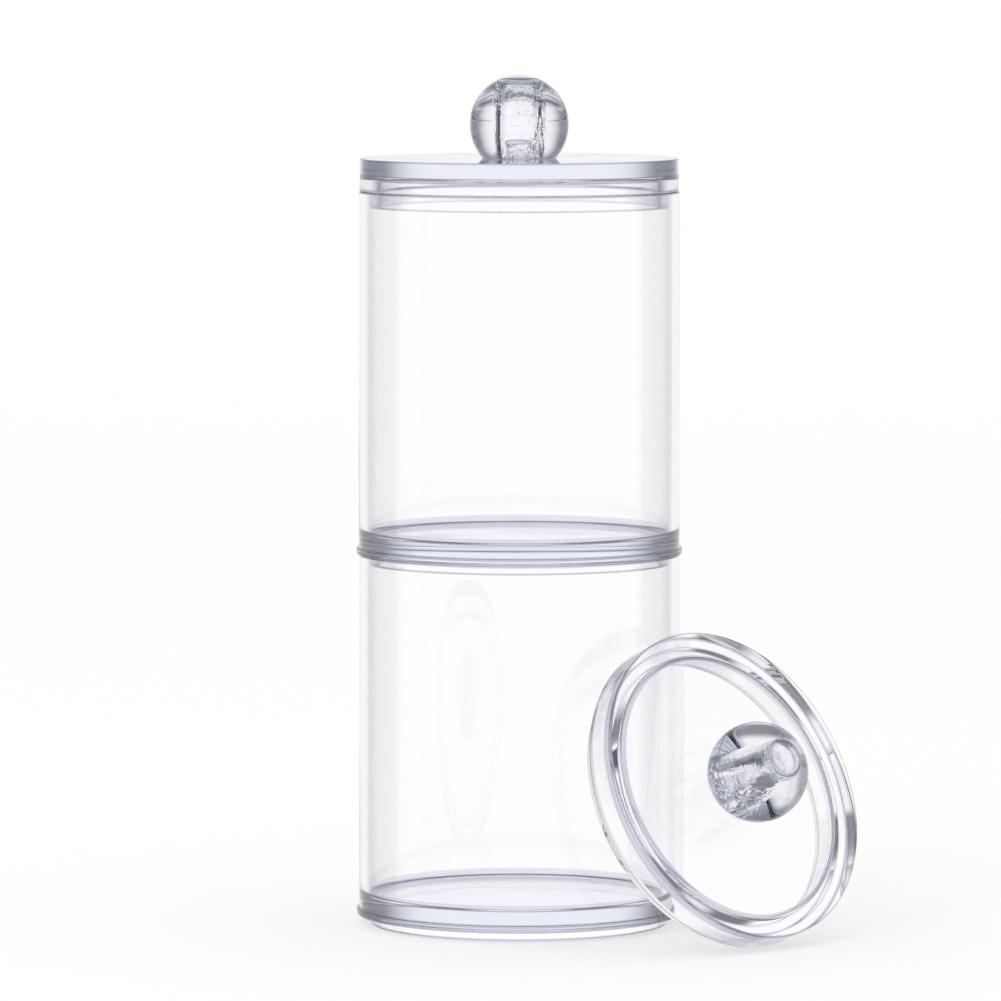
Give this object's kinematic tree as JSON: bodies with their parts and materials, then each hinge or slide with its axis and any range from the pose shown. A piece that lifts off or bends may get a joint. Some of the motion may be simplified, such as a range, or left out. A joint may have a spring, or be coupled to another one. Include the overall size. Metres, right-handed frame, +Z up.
{
  "type": "round storage box",
  "caption": "Clear round storage box in stacking tiers, foot in mouth, with a lift-off ball-knob lid on top and another such lid leaning at its side.",
  "frame": {"origin": "on the stack's axis, at the underside of the lower box's foot", "axes": "+Z up along the stack's axis; the leaning lid stands off towards +X and -Y"},
  "size_m": [0.1116, 0.1006, 0.1905],
  "materials": {
    "clear_box": "clear gloss",
    "clear_lid": "clear gloss",
    "clear_knob": "clear gloss"
  },
  "bodies": {
    "lower": {"lower_box": "clear_box", "loose_lid": "clear_lid", "loose_knob": "clear_knob"},
    "upper": {"upper_box": "clear_box"},
    "lid": {"upper_lid": "clear_lid", "upper_knob": "clear_knob"}
  },
  "joints": [
    {"name": "upper_box_lift", "type": "slide", "parent": "lower", "child": "upper", "axis": [0, 0, 1], "range_m": [0, 0.06]},
    {"name": "lid_lift", "type": "slide", "parent": "upper", "child": "lid", "axis": [0, 0, 1], "range_m": [0, 0.06]}
  ]
}
